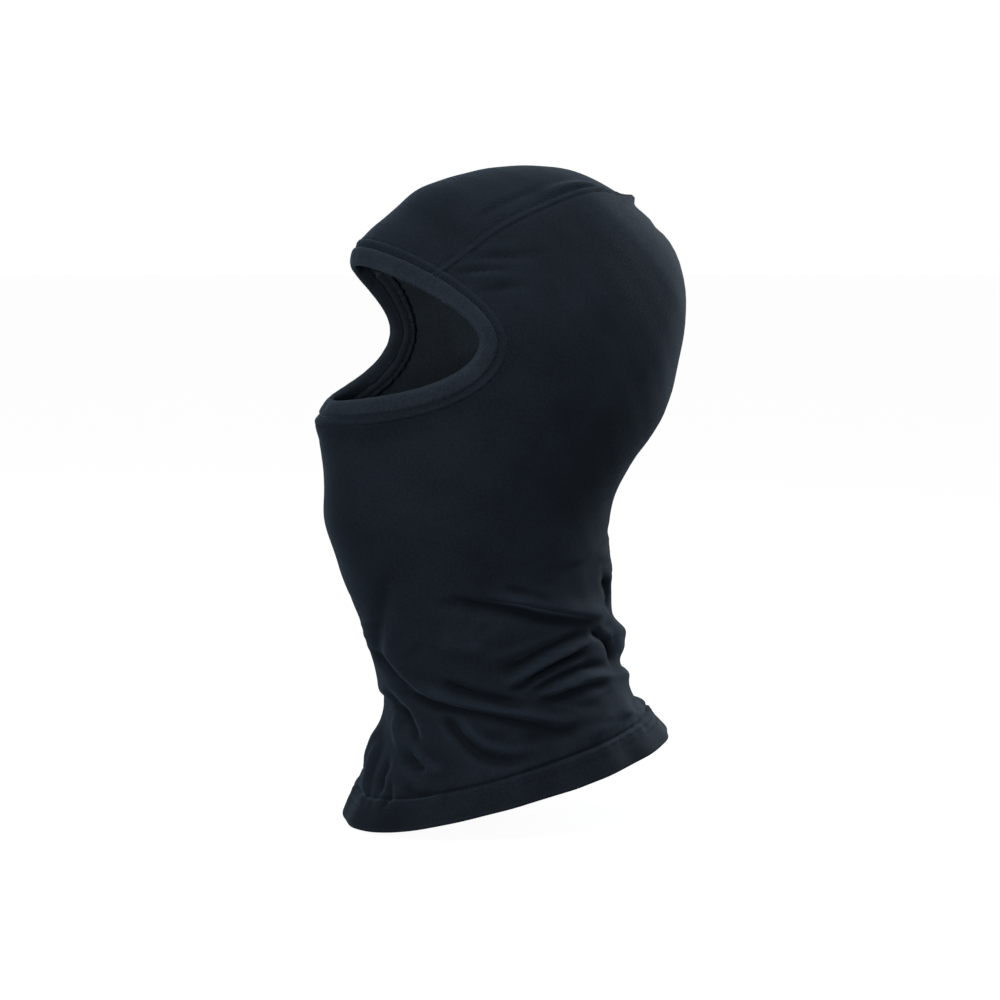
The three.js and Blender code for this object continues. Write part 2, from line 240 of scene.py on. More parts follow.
# %% Sizes of the seams
LAYER = 0.8  # one layer of jersey, in millimetres
BAND_WIDTH = 9.6
BAND_ALLOWANCE = 16.8  # raw edges of the band behind the panels, from the folded edge
BAND_ROWS = (11.4, 16.0)  # the two needle rows, from the folded edge
HEM_DEPTH = 18.0
HEM_ROWS = (16.0, 11.4)  # the two needle rows, from the hem edge
SEAM_HALF = 2.3  # from a flat seam to each of its needle rows
BUTT = 0.02  # from a seam's middle to each cloth edge
CROWN_POINT = 3.6  # the ring where the crown panel ends
CROWN_HALF = math.radians(41)  # half the crown panel at the forehead

# %% The rows
beside_band = BAND_WIDTH + np.array(
    [0.3, 0.8, 1.3, 1.8, 2.4, 3.1, 4.0, 4.9, 5.7, 6.4, 6.9, 7.4, 8.0, 9.2, 11.5, 15])
above_hem = HEM_DEPTH + np.array([9, 7, 5.4, 4, 2.8, 2.1, 1.6, 1.1, 0.7, 0.2])
crown_shares = np.linspace(0, 1, 52)[1:]
# further apart behind the head, and closer at the neck, where the folds are
back_shares = np.interp(np.linspace(0, 1, 106)[1:-1], [0, 0.27, 0.93, 1], [0, 0.48, 0.92, 1])
TOP_COUNT = len(beside_band) + len(crown_shares)


def top_ring(row, angle):
    """The ring of a row, from the band to the crown point, at an angle."""
    if row < len(beside_band):
        return below_edge(angle, beside_band[row])
    near = below_edge(angle, beside_band[-1])
    return near + (CROWN_POINT - near) * crown_shares[row - len(beside_band)]


# %% The crown seam
def seam_place(row):
    """The angle and ring where a row crosses the crown seam on the wearer's left."""
    angle = np.pi - CROWN_HALF
    for _ in range(6):
        join = below_edge(angle, BAND_WIDTH)
        level = (top_ring(row, angle) - join) / (CROWN_POINT - join)
        angle = np.pi - CROWN_HALF * (1 - level**3)
    return angle, top_ring(row, angle)


seam_angles, seam_rings = np.array([seam_place(row) for row in range(TOP_COUNT)]).T
seam_length = round(run_along(form(seam_angles, seam_rings))[-1])
print(TOP_COUNT, "rows to the crown point; the crown seam is", seam_length, "mm long")

# %% [markdown]
# ## Folds, furrows and puckers
# The neck is longer than the space it fills, so it slumps into soft folds that run round from the nape
# and die out under the chin. A cloth simulation could make them, but it gives other folds each time a
# size changes. Here each fold is a smooth line on the form with a height and two widths, so it can be
# placed one by one. Everything is gathered in one map of lifts over angle and ring, and every piece and
# every stitch is laid on the lifted form.

# %% Folds
lift = np.zeros(map_angle.shape)
FOLD_DEPTH, FOLD_WIDTH = 1.85, 0.84  # how deep and how wide all the folds below are
RING_DEGREES = 25  # a ring counts as much as so many degrees, where a fold is drawn as a curve


def print_lift(words):
    print(words, round(lift.min(), 1), "to", round(lift.max(), 1), "mm")


def press(line, line_ring, height, above, below, fade=0.3, ripple=0.0):
    """Adds a fold of a height in millimetres along a line, with a width on each side of it."""
    reach = 2.6 * max(above, below)
    low, high = line.min(0) - reach, line.max(0) + reach
    near = ((map_points > low) & (map_points < high)).all(-1)
    places = map_points[near]
    gap = np.full(len(places), 1e9)
    nearest = np.zeros(len(places), int)
    for index, point in enumerate(line):
        distance = np.square(places - point).sum(-1)
        closer = distance < gap
        gap[closer], nearest[closer] = distance[closer], index
    share = np.linspace(0, 1, len(line))
    ends = np.clip(np.minimum(share, 1 - share) / fade, 0, 1) if fade else np.ones(len(line))
    run = run_along(line)
    strength = ends**2 * (3 - 2 * ends) * (1 + ripple * np.sin(run / 1.25 + 3 * np.sin(run / 7)))
    width = np.where(map_ring[near] > line_ring[nearest], below, above)
    lift[near] += height * strength[nearest] * np.exp(-gap / width**2)


def fold(places, height, above, below, fade=0.3):
    """A fold through (degrees, ring) places on the form."""
    weights = (1, RING_DEGREES)
    line = along(np.array(places, float) * weights, np.linspace(0, 1, 90)) / weights
    place = form(np.radians(line[:, 0]), line[:, 1])
    press(place, line[:, 1], height * FOLD_DEPTH, above * FOLD_WIDTH, below * FOLD_WIDTH, fade)


# %% [markdown]
# The folds on the wearer's left start at the nape and run forward and up or down. The long one from
# under the chin turns round the side of the neck and ends at the back of the flare.

# %% Folds on the wearer's left
fold([(54, 6.42), (69, 6.59), (84, 6.71), (102, 6.89), (130, 7.07)], -2.8, 3.4, 7)
fold([(70, 6.40), (94, 6.69), (115, 6.89), (148, 7.02)], 2.2, 8, 4.2)
fold([(80, 6.42), (92, 6.56), (103, 6.68)], -1.4, 2.6, 3)
fold([(132, 7.17), (110, 7.17), (98, 7.23), (90, 7.29), (81, 7.37), (70, 7.48)], -3.2, 3.2, 2.8)
fold([(132, 7.23), (110, 7.26), (98, 7.33), (89, 7.40), (80, 7.49), (68, 7.60)], 2.6, 2.8, 3.2)
fold([(122, 7.34), (106, 7.38), (92, 7.48), (82, 7.57), (72, 7.66)], -2.2, 2.8, 3)
fold([(120, 7.43), (102, 7.46), (90, 7.55), (78, 7.66)], 1.6, 3, 3)
fold([(136, 7.56), (118, 7.50), (104, 7.52), (92, 7.60), (78, 7.70)], -2.4, 3, 3)
fold([(136, 7.66), (112, 7.61), (98, 7.66), (84, 7.74)], 2.0, 3.4, 3)
fold([(132, 7.74), (112, 7.71), (96, 7.75), (84, 7.80)], -2.2, 2.8, 4)
fold([(36, 5.90), (26, 6.37), (15, 6.83), (7, 7.16), (8, 7.34)], -1.1, 6, 6)
fold([(-8, 7.02), (4, 7.20), (14, 7.38), (24, 7.52), (38, 7.62)], -1.8, 5, 4, 0.4)
fold([(10, 7.30), (24, 7.46), (36, 7.56), (50, 7.70)], 1.2, 5, 4)
fold([(4, 7.44), (20, 7.62), (36, 7.72), (52, 7.80), (66, 7.90), (84, 8.04), (98, 8.14)], -2.2, 4, 5)
fold([(22, 7.50), (36, 7.60), (52, 7.74), (64, 7.82), (78, 7.90), (92, 8.02), (108, 8.10)], 3.0, 4.4, 4.8)
fold([(40, 7.46), (50, 7.58), (60, 7.69), (70, 7.77), (82, 7.84)], -3.8, 4.6, 3)
fold([(-4, 7.60), (6, 7.78), (12, 7.94), (12, 8.14)], -1.6, 5, 5)
fold([(8, 7.76), (15, 7.92), (21, 8.08), (29, 8.24)], -2.8, 4.2, 3.6, 0.4)
fold([(0, 7.84), (7, 8.04), (13, 8.18), (22, 8.27)], 1.4, 3.6, 3.6, 0.4)
fold([(16, 8.28), (24, 8.37), (36, 8.47)], -4.4, 4, 3.2)
fold([(24, 8.28), (34, 8.38), (44, 8.46)], 1.6, 4, 4)
fold([(38, 7.84), (42, 7.98), (49, 8.14), (57, 8.30), (67, 8.41), (86, 8.42)], -3.2, 4.4, 3.6)
fold([(46, 7.90), (52, 8.06), (60, 8.22), (70, 8.32), (84, 8.34)], 1.8, 4.4, 4)
fold([(-2, 8.20), (-6, 8.38), (-4, 8.60), (2, 8.76)], 2.0, 4, 4)
fold([(10, 8.34), (8, 8.54), (13, 8.70)], -1.9, 3.2, 3.2)
fold([(12, 8.54), (18, 8.68), (16, 8.82)], -1.6, 3, 3)
fold([(24, 8.56), (30, 8.66), (44, 8.68)], -1.2, 3.6, 3.6)
fold([(72, 8.12), (90, 8.20), (110, 8.16)], -1.4, 4, 6)
fold([(46, 6.95), (58, 7.06), (72, 7.10)], 1.2, 8, 8)
fold([(96, 8.30), (112, 8.26), (130, 8.14), (148, 8.00)], 1.6, 7, 6)
fold([(-40, 7.88), (-14, 7.86), (6, 7.88), (22, 7.98)], -1.7, 8, 8, 0.45)
print_lift("lift so far from")

# %% Folds at the nape, across the back
fold([(138, 6.55), (147, 6.85), (142, 7.00)], -1.8, 5, 5)
fold([(150, 6.62), (170, 6.86), (190, 6.90), (214, 6.72)], -3.0, 6, 5)
fold([(140, 7.10), (156, 7.22), (176, 7.26), (196, 7.20), (218, 7.10)], 3.2, 6, 8)
fold([(146, 7.56), (162, 7.62), (184, 7.58), (206, 7.50)], -1.4, 4, 4)
fold([(140, 7.70), (162, 7.76), (184, 7.80), (210, 7.70)], 1.2, 5, 5)
fold([(150, 7.96), (172, 8.06), (196, 8.02), (212, 7.92)], -2.2, 6, 6)
fold([(160, 8.36), (180, 8.30), (204, 8.34)], 1.4, 9, 8)

# %% Folds on the wearer's right
fold([(-48, 6.34), (-70, 6.50), (-92, 6.76), (-116, 6.96), (-146, 6.98)], -2.6, 5, 6)
fold([(-62, 6.34), (-90, 6.60), (-112, 6.82), (-140, 6.86)], 2.0, 8, 5)
fold([(-62, 7.60), (-78, 7.44), (-96, 7.28), (-118, 7.18), (-142, 7.20)], -2.8, 4, 4)
fold([(-66, 7.72), (-84, 7.55), (-100, 7.40), (-122, 7.30)], 2.4, 4, 4)
fold([(-86, 7.74), (-100, 7.60), (-124, 7.50)], -1.8, 3, 4)
fold([(-28, 7.26), (-44, 7.50), (-58, 7.70), (-76, 7.88), (-98, 8.00), (-126, 7.98)], 3.0, 7, 6)
fold([(-54, 7.92), (-72, 8.06), (-92, 8.16), (-114, 8.14)], -2.6, 4, 7)
fold([(-22, 6.10), (-18, 6.60), (-16, 7.10), (-26, 7.42), (-42, 7.66)], -2.8, 9, 8)
fold([(-38, 8.06), (-48, 8.26), (-62, 8.40), (-84, 8.44)], 1.6, 6, 6)
fold([(-8, 8.00), (-14, 8.30), (-12, 8.66)], 2.6, 10, 10, 0.4)
fold([(-28, 8.10), (-32, 8.36), (-28, 8.62)], -1.3, 8, 8, 0.45)
fold([(-34, 8.50), (-40, 8.64), (-52, 8.72)], 1.6, 7, 6)

# %% Full and flat places
fold([(112, 4.3), (150, 4.1), (180, 4.0), (210, 4.1), (248, 4.3)], 1.2, 36, 36)
fold([(104, 1.3), (140, 1.5), (180, 1.6), (220, 1.5), (256, 1.3)], -1.6, 18, 18, 0.5)
fold([(-30, 2.2), (0, 2.0), (30, 2.2)], 1.4, 14, 14, 0.5)
fold([(126, 6.6), (150, 6.65), (180, 6.7), (210, 6.65), (234, 6.6)], 1.8, 20, 16)
fold([(142, 7.28), (152, 7.40), (170, 7.42)], 1.8, 8, 8)
fold([(122, 7.15), (130, 7.20), (136, 7.30), (137, 7.44), (132, 7.54)], -2.4, 3.4, 3.4)
fold([(160, 3.30), (172, 3.46), (180, 3.52), (188, 3.46), (200, 3.30)], 2.2, 5, 3.4)
fold([(160, 3.70), (180, 3.80), (200, 3.70)], -0.8, 4, 5)
fold([(-76, 0.2), (-40, 0.2), (0, 0.2), (34, 0.2)], -1.2, 12, 12, 0.4)

# %% Small tucks on the head
fold([(136, 1.16), (134, 1.34), (130, 1.64), (126, 2.02)], -1.1, 2, 2.4, 0.5)
fold([(134, 1.14), (131, 1.36), (128, 1.60), (124, 1.92)], 0.8, 2, 2.4, 0.5)
fold([(139, 1.40), (136, 1.62), (133, 1.92), (132, 2.14), (134, 2.56)], -1.1, 2.2, 2.6, 0.5)
fold([(127, 1.12), (124, 1.40), (122, 1.74), (121, 2.10)], -0.9, 2.4, 2.8, 0.5)
fold([(148, 1.90), (152, 2.30), (158, 2.66)], -0.6, 3, 3)
fold([(152, 2.52), (157, 2.73), (161, 2.95), (166, 3.25)], 1.0, 3, 3)
fold([(-136, 1.50), (-131, 1.80), (-129, 2.10)], -0.8, 3, 3)
fold([(-150, 2.60), (-156, 2.84), (-163, 3.10)], 0.9, 3, 3)
print_lift("lift from")

# %% [markdown]
# Between the long folds the slack knit breaks into many short creases, all round the neck. They are
# too many to place by hand, so they are drawn at random, from a fixed seed.

# %% Short creases round the neck
random = np.random.default_rng(11)
for _ in range(90):
    middle, level = random.uniform(-180, 180), random.uniform(6.2, 8.35)
    reach, tilt = random.uniform(8, 24), random.uniform(-0.16, 0.16)
    height, width = random.choice([-1, 1]) * random.uniform(0.25, 0.75), random.uniform(2.2, 4.4)
    bow = random.uniform(-0.05, 0.05)
    places = [(middle - reach, level - tilt), (middle, level + bow), (middle + reach, level + tilt)]
    fold(places, height, width, width, 0.45)
print_lift("lift from")

# %% [markdown]
# The stitching of a flat seam draws the cloth down along both needle rows, and the cloth between them
# stands up in a low ridge, rippled where the thread is tight. The band is joined in a groove, and the
# hem stands out by its second layer.

# %% Furrows of the stitching
FURROWS = ((-SEAM_HALF, -0.65, 1.0), (0, 0.55, 1.5), (SEAM_HALF, -0.65, 1.0))  # offset, height, width
SEAM_PLACES = 500
RING_RADIANS = 0.4  # a ring counts as so many radians, where the seam is drawn as a curve
for side in (1, -1):
    for offset, height, width in FURROWS:
        seam = np.column_stack([angle_at(seam_angles, seam_rings, offset), seam_rings * RING_RADIANS])
        line = along(seam, np.linspace(0, 1, SEAM_PLACES))
        line_angles, line_rings = side * line[:, 0], line[:, 1] / RING_RADIANS
        press(form(line_angles, line_rings), line_rings, height, width, width, 0.02, 0.5)
back_rings = np.linspace(CROWN_POINT, HEM - 0.3, SEAM_PLACES)
for offset, height, width in FURROWS:
    line_angles = angle_at(np.full(SEAM_PLACES, np.pi), back_rings, offset)
    press(form(line_angles, back_rings), back_rings, height, width, width, 0.02, 0.4)


def bump(distance, width):
    return np.exp(-((distance / width) ** 2))


ripple = 1 + 0.35 * np.sin(map_angle * 61 + 2 * np.sin(map_angle * 9)) + 0.2 * np.sin(map_angle * 103 + 1)
band_middle = sum(BAND_ROWS) / 2
lift -= (0.3 * bump(from_edge - BAND_ROWS[0], 0.8) + 0.7 * bump(from_edge - BAND_ROWS[1], 0.8)) * ripple
lift += 0.35 * bump(from_edge - band_middle, 1.6) * ripple
band_layer = 0.75 / (1 + np.exp((from_edge - BAND_ALLOWANCE - 0.2) * 2.4))
lift += band_layer - 0.8 * bump(from_edge - BAND_WIDTH - 0.2, 0.7)
above_hem_layer = from_hem - HEM_DEPTH
hem_layer = 1 / (1 + np.exp(above_hem_layer * 3.0))
lift += 0.9 * hem_layer - 1.5 * bump(above_hem_layer - 1.0, 1.1) + 0.4 * bump(above_hem_layer + 1.4, 1.3)
gathers = np.sin(map_angle * 47 + 3 * np.sin(map_angle * 6) + 1) * (0.6 + 0.4 * np.sin(map_angle * 11))
lift += 0.4 * gathers * bump(above_hem_layer + 1, 5)
hem_waves = 0.9 * np.sin(map_angle * 9 + 1) * np.sin(map_angle * 2 + 0.5)
hem_waves += 0.45 * np.sin(map_angle * 19 + 2)
lift += hem_waves * bump(from_hem, 24)
lift -= 0.4 * (bump(from_hem - HEM_ROWS[0], 0.8) + bump(from_hem - HEM_ROWS[1], 0.8)) * ripple

# %% [markdown]
# No cloth hangs quite evenly. A few slow waves of half a millimetre keep the large smooth areas from
# looking like plastic, and they fade where two pieces have to meet.

# %% Slow waves
x, y, z = np.moveaxis(map_points, -1, 0)
waves = 0.5 * np.sin(x / 17 + z / 23 + 1) * np.sin(y / 21 - z / 31)
waves += 0.35 * np.sin(y / 11 + z / 13 + 2) * np.sin(x / 14 + 2)
waves += 0.16 * np.sin(z / 5.1 + y / 6.3) * np.sin(x / 7.7 - y / 9.1 + 1)
lift += waves * np.clip(from_edge / 25, 0.25, 1)
print_lift("finished lift from")

# %% [markdown]
# Creases get painted shade and raised folds a painted highlight, both put into the cloth's colour.
# Blender can tell ridges from creases by the mesh, but then they change with its fineness. The map of
# lifts already knows them: a place stands out where it is lifted more than the cloth around it.


# %% Where creases fall and where ridges stand
def local_mean(values, reach):
    """The mean of a map over a square that reaches so many cells to each side."""
    rows = np.arange(len(values))
    steps = range(-reach, reach + 1)
    down = sum(values[np.clip(rows + step, 0, len(values) - 1)] for step in steps) / len(steps)
    return sum(np.roll(down, step, axis=1) for step in steps) / len(steps)


crease = lift - local_mean(local_mean(lift, 7), 7)  # millimetres above (+) or under (-) the cloth around
# painted shade in creases and painted highlight on ridges, in the cloth's colour
light_shade_and_wear_map = np.clip(0.1 + 0.6 * crease, -0.8, 0.9)
# lighter along the raised strip between the band's needle rows, and painted shade on the turned-up hem
light_shade_and_wear_map += 0.35 * bump(from_edge - band_middle, 1.8) - 0.4 * hem_layer
print("creases down to", round(crease.min(), 1), "and ridges up to", round(crease.max(), 1), "mm")


# %% Points on the lifted cloth
map_down, _, map_outward = directions(map_points)
height = lift[..., None]
sag = 0.18 * (height + np.sqrt(height**2 + 1) - 1)  # raised folds hang over a little
cloth_map = map_points + height * map_outward + sag * map_down
HEM_DIP, DIP_MIDDLE = 3.2, math.radians(18)  # the hem hangs lower in front, where the cloth slumps most
cloth_map[..., 2] -= HEM_DIP * np.clip(np.cos(map_angle - DIP_MIDDLE), 0, 1) ** 4 * bump(from_hem, 22)
cloth_outward = directions(cloth_map)[2]


def on_cloth(angle, ring, depth=0.0):
    """Points in millimetres at a depth outside (+) or inside (-) the outer face of the cloth."""
    angle, ring, depth = same_shape(angle, ring, depth)
    return read_at(cloth_map, angle, ring) + depth[..., None] * read_at(cloth_outward, angle, ring)


print("lifted cloth from", cloth_map.min((0, 1)).round(), "to", cloth_map.max((0, 1)).round(), "mm")

# %% [markdown]
# ## The camera and the light
# The hood is seen from the wearer's left, a little in front and a little above, through a long lens.
# It hangs as on a head, with its hem just over a plain white floor. A white room lights dark cloth
# evenly, two lamps above and behind draw the bright edge along the top and back, and two in front open
# the folds.

# %% The camera
AZIMUTH, ELEVATION = math.radians(66), math.radians(5)
level_share = math.cos(ELEVATION)
camera_back = Vector(
    (math.sin(AZIMUTH) * level_share, -math.cos(AZIMUTH) * level_share, math.sin(ELEVATION)))
camera_right = Vector((math.cos(AZIMUTH), math.sin(AZIMUTH), 0))
camera_up = camera_back.cross(camera_right)
CAMERA_DISTANCE = 2.2
aim = -0.010 * camera_right - 0.100 * camera_up
camera = bpy.data.objects.new("camera", bpy.data.cameras.new("camera"))
camera.data.lens = 134.6
camera.location = aim + CAMERA_DISTANCE * camera_back
camera.rotation_euler = (-camera_back).to_track_quat("-Z", "Y").to_euler()
bpy.context.collection.objects.link(camera)
bpy.context.scene.camera = camera
bpy.context.scene.view_settings.view_transform = "Standard"
print("camera at", [round(value, 2) for value in camera.location])


# %% Lamps
def lamp(name, place, size, watts, colour, target=(0, 0, -0.08)):
    """A square soft lamp that faces the target."""
    data = bpy.data.lights.new(name, "AREA")
    data.size, data.energy, data.color = size, watts, colour
    lamp_object = bpy.data.objects.new(name, data)
    lamp_object.location = place
    facing = Vector(target) - Vector(place)
    lamp_object.rotation_euler = facing.to_track_quat("-Z", "Y").to_euler()
    bpy.context.collection.objects.link(lamp_object)


lamp("top_lamp", (0.10, 0.55, 1.5), 0.7, 11, (0.93, 0.97, 1.0))
lamp("back_lamp", (-0.7, 1.6, 0.5), 0.8, 20, (0.88, 0.95, 1.0))
lamp("front_lamp", (1.0, -0.9, 1.2), 0.7, 12, (1.0, 0.99, 0.97))
lamp("face_lamp", (1.25, -1.15, 0.0), 0.5, 14, (1.0, 1.0, 1.0), target=(0, -0.05, -0.02))

# %% [markdown]
# The room and the floor look white, but throw back less light than a white room would, so the folds
# keep their shade. Light Path tells what the camera sees from what lights the cloth.

# %% The white room
ROOM_LIGHT, FLOOR_GLOW = 0.28, 0.95


def set_inputs(node, values):
    for title, value in values.items():
        node.inputs[title].default_value = value


def seen_value(tree, unseen, seen):
    """A value for what the camera sees, and another for the light that falls on the cloth."""
    path, choice = tree.nodes.new("ShaderNodeLightPath"), tree.nodes.new("ShaderNodeMapRange")
    set_inputs(choice, {"To Min": unseen, "To Max": seen})
    tree.links.new(path.outputs["Is Camera Ray"], choice.inputs["Value"])
    return choice.outputs[0]


room = bpy.data.worlds.new("white_room")
room.use_nodes = True
background = room.node_tree.nodes["Background"]
background.inputs["Color"].default_value = (1, 1, 1, 1)
room.node_tree.links.new(seen_value(room.node_tree, ROOM_LIGHT, 1.0), background.inputs["Strength"])
bpy.context.scene.world = room

# %% The floor
floor_height = cad_box[0][2] - 0.004
bpy.ops.object.select_all(action="DESELECT")
bpy.ops.mesh.primitive_circle_add(vertices=96, radius=12, fill_type="NGON", location=(0, 0, floor_height))
floor = bpy.context.active_object
floor.name = "floor"
paint = bpy.data.materials.new("white_floor")
paint.use_nodes = True
paint_shader = paint.node_tree.nodes["Principled BSDF"]
set_inputs(paint_shader, {"Base Color": (0.12, 0.12, 0.12, 1), "Roughness": 0.9,
                          "Specular IOR Level": 0.0, "Emission Color": (1, 1, 1, 1)})
glow = seen_value(paint.node_tree, 0.0, FLOOR_GLOW)
paint.node_tree.links.new(glow, paint_shader.inputs["Emission Strength"])
floor.data.materials.append(paint)
print("floor at", round(floor_height, 3), "m")

# %% [markdown]
# ## Knit, woven tape and thread
# Single jersey is columns of small V-shaped loops, the wales, about a millimetre apart. They run down
# the body and from front to back over the crown. One shader group draws them for both the jersey and
# the band: it takes the cloth's own UV map, in metres, and gives a height and the grooves between the
# wales. Another group gives the fuzz and the uneven dye that every thread and cloth here has, paints
# shade into the grooves, and adds the painted light and wear of the attribute.

# %% Node helpers
def link(tree, source, target):
    tree.links.new(source, target)


def feed(tree, sockets, values):
    """Links each socket to another node's output, or sets it to a number or colour."""
    for socket, value in zip(sockets, values):
        if isinstance(value, bpy.types.NodeSocket):
            link(tree, value, socket)
        elif value is not None:
            socket.default_value = value


def math_node(tree, operation, first, second=None):
    node = tree.nodes.new("ShaderNodeMath")
    node.operation = operation
    feed(tree, node.inputs, (first, second))
    return node.outputs[0]


def new_group(name, inputs, outputs):
    tree = bpy.data.node_groups.new(name, "ShaderNodeTree")
    for title, kind, value in inputs:
        socket = tree.interface.new_socket(name=title, in_out="INPUT", socket_type=kind)
        if value is not None:
            socket.default_value = value
    for title, kind in outputs:
        tree.interface.new_socket(name=title, in_out="OUTPUT", socket_type=kind)
    return tree, tree.nodes.new("NodeGroupInput"), tree.nodes.new("NodeGroupOutput")


# %% The knit group
FULL_TURN = 6.2832
LOOP_SLANT = 1.4  # how far the two legs of a loop slope to form a V
knit, knit_in, knit_out = new_group(
    "knit",
    [("UV", "NodeSocketVector", None), ("Wale", "NodeSocketFloat", 0.0012),
     ("Course", "NodeSocketFloat", 0.001)],
    [("Height", "NodeSocketFloat"), ("Groove", "NodeSocketFloat")],
)
uv_parts = knit.nodes.new("ShaderNodeSeparateXYZ")
link(knit, knit_in.outputs["UV"], uv_parts.inputs[0])
wale = math_node(knit, "FRACT", math_node(knit, "DIVIDE", uv_parts.outputs[0], knit_in.outputs["Wale"]))
# 0 on a wale, 0.5 between two
off_wale = math_node(knit, "ABSOLUTE", math_node(knit, "SUBTRACT", wale, 0.5))
course = math_node(knit, "DIVIDE", uv_parts.outputs[1], knit_in.outputs["Course"])
slant = math_node(knit, "MULTIPLY", off_wale, LOOP_SLANT)
slanted = math_node(knit, "MULTIPLY", math_node(knit, "ADD", course, slant), FULL_TURN)
loop = math_node(knit, "ADD", math_node(knit, "MULTIPLY", math_node(knit, "SINE", slanted), 0.12), 0.88)
groove = math_node(knit, "POWER", math_node(knit, "MULTIPLY", off_wale, 2.0), 3.0)
rounded = math_node(knit, "SUBTRACT", 1.0, groove)
link(knit, math_node(knit, "MULTIPLY", rounded, loop), knit_out.inputs["Height"])
link(knit, groove, knit_out.inputs["Groove"])

# %% The fuzz group
fuzz, fuzz_in, fuzz_out = new_group(
    "fuzz",
    [("Place", "NodeSocketVector", None), ("Dark", "NodeSocketColor", None),
     ("Light", "NodeSocketColor", None), ("Painted_light_and_wear", "NodeSocketFloat", 0.0),
     ("Groove", "NodeSocketFloat", 0.0)],
    [("Color", "NodeSocketColor"), ("Roughness", "NodeSocketFloat"), ("Height", "NodeSocketFloat")],
)


def noise(tree, place, scale, detail=3.0):
    node = tree.nodes.new("ShaderNodeTexNoise")
    set_inputs(node, {"Scale": scale, "Detail": detail})
    link(tree, place, node.inputs["Vector"])
    return node.outputs[0]


def mix_colours(tree, share, first, second):
    node = tree.nodes.new("ShaderNodeMix")
    node.data_type = "RGBA"
    feed(tree, (node.inputs[0], node.inputs[6], node.inputs[7]), (share, first, second))
    return node.outputs[2]


dye = noise(fuzz, fuzz_in.outputs["Place"], 28.0)  # slow unevenness of the dye
fibre = noise(fuzz, fuzz_in.outputs["Place"], 2600.0, 2.0)  # loose fibre ends
speck = noise(fuzz, fuzz_in.outputs["Place"], 700.0, 2.0)
dyed, specked = (math_node(fuzz, "MULTIPLY", tone, 0.75) for tone in (dye, speck))
lightness = math_node(fuzz, "ADD", dyed, specked)
# the attribute's painted shade, painted highlight and painted light, with wear at the edges, shift the tone here
painted_light_and_wear_part = math_node(fuzz, "MULTIPLY", fuzz_in.outputs["Painted_light_and_wear"], 0.45)
lightness = math_node(fuzz, "ADD", lightness, painted_light_and_wear_part)
# painted shade: the grooves between wales are darker in colour
groove_painted_shade = math_node(fuzz, "MULTIPLY", fuzz_in.outputs["Groove"], 0.26)
lightness = math_node(fuzz, "SUBTRACT", lightness, groove_painted_shade)
spread = fuzz.nodes.new("ShaderNodeMapRange")
set_inputs(spread, {"From Min": 0.42, "From Max": 1.22})
link(fuzz, lightness, spread.inputs["Value"])
colour = mix_colours(fuzz, spread.outputs[0], fuzz_in.outputs["Dark"], fuzz_in.outputs["Light"])
link(fuzz, colour, fuzz_out.inputs["Color"])
roughness = math_node(fuzz, "ADD", math_node(fuzz, "MULTIPLY", fibre, 0.16), 0.78)
link(fuzz, roughness, fuzz_out.inputs["Roughness"])
link(fuzz, fibre, fuzz_out.inputs["Height"])
print("shader groups:", [group.name for group in bpy.data.node_groups])


# %% A cloth or thread material
def soft_material(name, dark, light, sheen, wale=None, course=None, relief=0.00008, fibre_relief=0.00005):
    """A matte fibre material; wale and course are the knit's pitches in metres, where it has any."""
    material = bpy.data.materials.new(name)
    material.use_nodes = True
    tree = material.node_tree
    shader = tree.nodes["Principled BSDF"]
    set_inputs(shader, {"Specular IOR Level": 0.12, "Sheen Weight": sheen, "Sheen Roughness": 0.45,
                        "Sheen Tint": (0.50, 0.72, 1.0, 1)})
    finish = tree.nodes.new("ShaderNodeGroup")
    finish.node_tree = fuzz
    set_inputs(finish, {"Dark": (*dark, 1), "Light": (*light, 1)})
    place = tree.nodes.new("ShaderNodeTexCoord")
    link(tree, place.outputs["Object"], finish.inputs["Place"])
    height = math_node(tree, "MULTIPLY", finish.outputs["Height"], fibre_relief / relief)
    if wale:
        light_shade_and_wear = tree.nodes.new("ShaderNodeAttribute")
        light_shade_and_wear.attribute_name = "light_shade_and_wear"
        link(tree, light_shade_and_wear.outputs["Fac"], finish.inputs["Painted_light_and_wear"])
        own_map = tree.nodes.new("ShaderNodeUVMap")
        own_map.uv_map = "cloth"
        loops = tree.nodes.new("ShaderNodeGroup")
        loops.node_tree = knit
        set_inputs(loops, {"Wale": wale, "Course": course})
        link(tree, own_map.outputs[0], loops.inputs["UV"])
        link(tree, loops.outputs["Groove"], finish.inputs["Groove"])
        height = math_node(tree, "ADD", height, loops.outputs["Height"])
    bump_node = tree.nodes.new("ShaderNodeBump")
    set_inputs(bump_node, {"Distance": relief, "Strength": 1.0})
    link(tree, height, bump_node.inputs["Height"])
    link(tree, bump_node.outputs[0], shader.inputs["Normal"])
    link(tree, finish.outputs["Color"], shader.inputs["Base Color"])
    link(tree, finish.outputs["Roughness"], shader.inputs["Roughness"])
    return material


jersey = soft_material(
    "navy_jersey", (0.0028, 0.0051, 0.0086), (0.0096, 0.0144, 0.0222), 0.10, 0.0012, 0.0010)
# the band is the same jersey; its lighter colours are painted light, mostly for the inner leaf
band_jersey_painted_light = soft_material(
    "navy_band_jersey_painted_light", (0.0076, 0.0112, 0.0166), (0.0240, 0.0325, 0.0450), 0.10, 0.0011, 0.0009)
reverse_jersey = soft_material(
    "navy_jersey_reverse", (0.0150, 0.0215, 0.0300), (0.0400, 0.0520, 0.0680), 0.14, 0.0012, 0.0010)
tape = soft_material(
    "woven_tape", (0.010, 0.012, 0.017), (0.028, 0.032, 0.042), 0.05, 0.0005, 0.0004, 0.00006)
thread = soft_material("sewing_thread", (0.0050, 0.0080, 0.0125), (0.0115, 0.0160, 0.0235), 0.08)
print("materials:", [cloth.name for cloth in (jersey, band_jersey_painted_light, reverse_jersey, tape, thread)])
